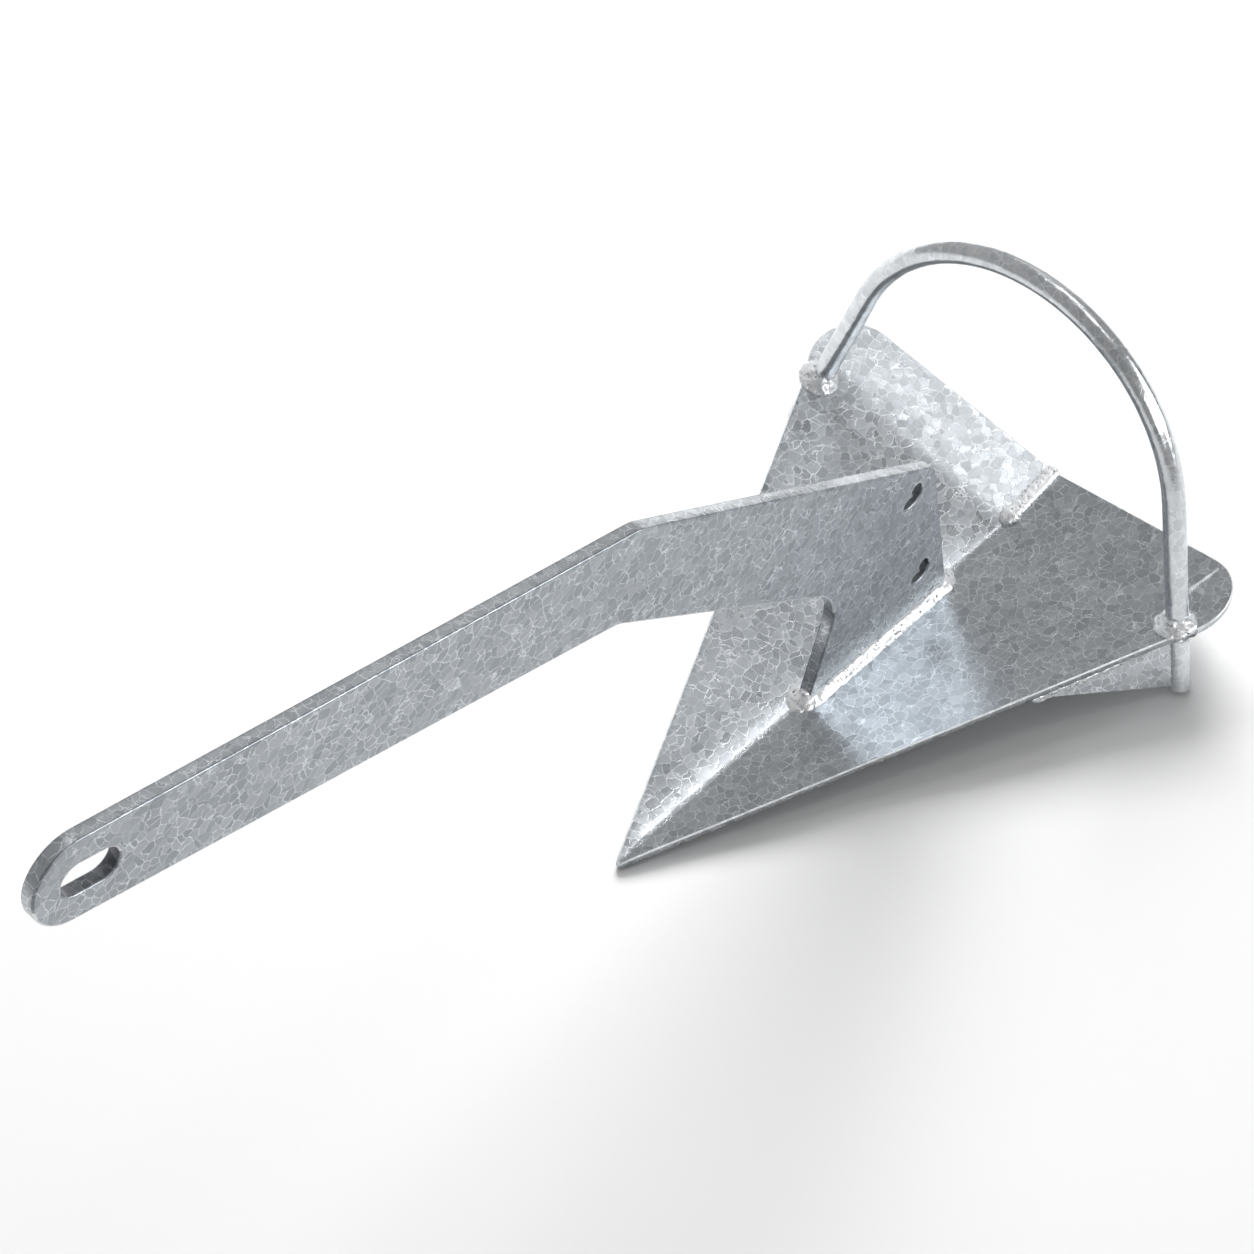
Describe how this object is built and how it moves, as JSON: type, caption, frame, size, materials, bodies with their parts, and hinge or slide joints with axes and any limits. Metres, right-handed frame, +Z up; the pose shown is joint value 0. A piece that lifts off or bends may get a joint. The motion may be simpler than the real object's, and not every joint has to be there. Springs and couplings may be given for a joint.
{
  "type": "scoop anchor",
  "caption": "Galvanised boat anchor with a concave pointed fluke, an arched roll bar over its heel and a bent plate shank that ends in a shackle slot.",
  "frame": {"origin": "bottom centre of the anchor's bounding box, as it stands on the keel of the fluke and on the two stub ends of the roll bar", "axes": "+X along the keel of the fluke from its tip to its heel, +Y to the right-hand side seen from behind, square to the shank, +Z up; the shank reaches forward, to -X, and up"},
  "size_m": [0.8665, 0.3696, 0.4602],
  "materials": {
    "galvanised_plate": "hot-dip galvanised, spangled, satin",
    "galvanised_bar": "hot-dip galvanised, brighter, satin",
    "galvanised_weld": "galvanised weld bead, lumpy, bright satin"
  },
  "bodies": {
    "root": {"shank": "galvanised_plate", "fluke": "galvanised_plate", "roll_bar": "galvanised_bar", "skid_left": "galvanised_plate", "skid_right": "galvanised_plate", "shank_weld": "galvanised_weld", "heel_weld": "galvanised_weld", "hoop_weld_left": "galvanised_weld", "hoop_weld_right": "galvanised_weld", "skid_weld_left": "galvanised_weld", "skid_weld_right": "galvanised_weld"}
  },
  "joints": []
}
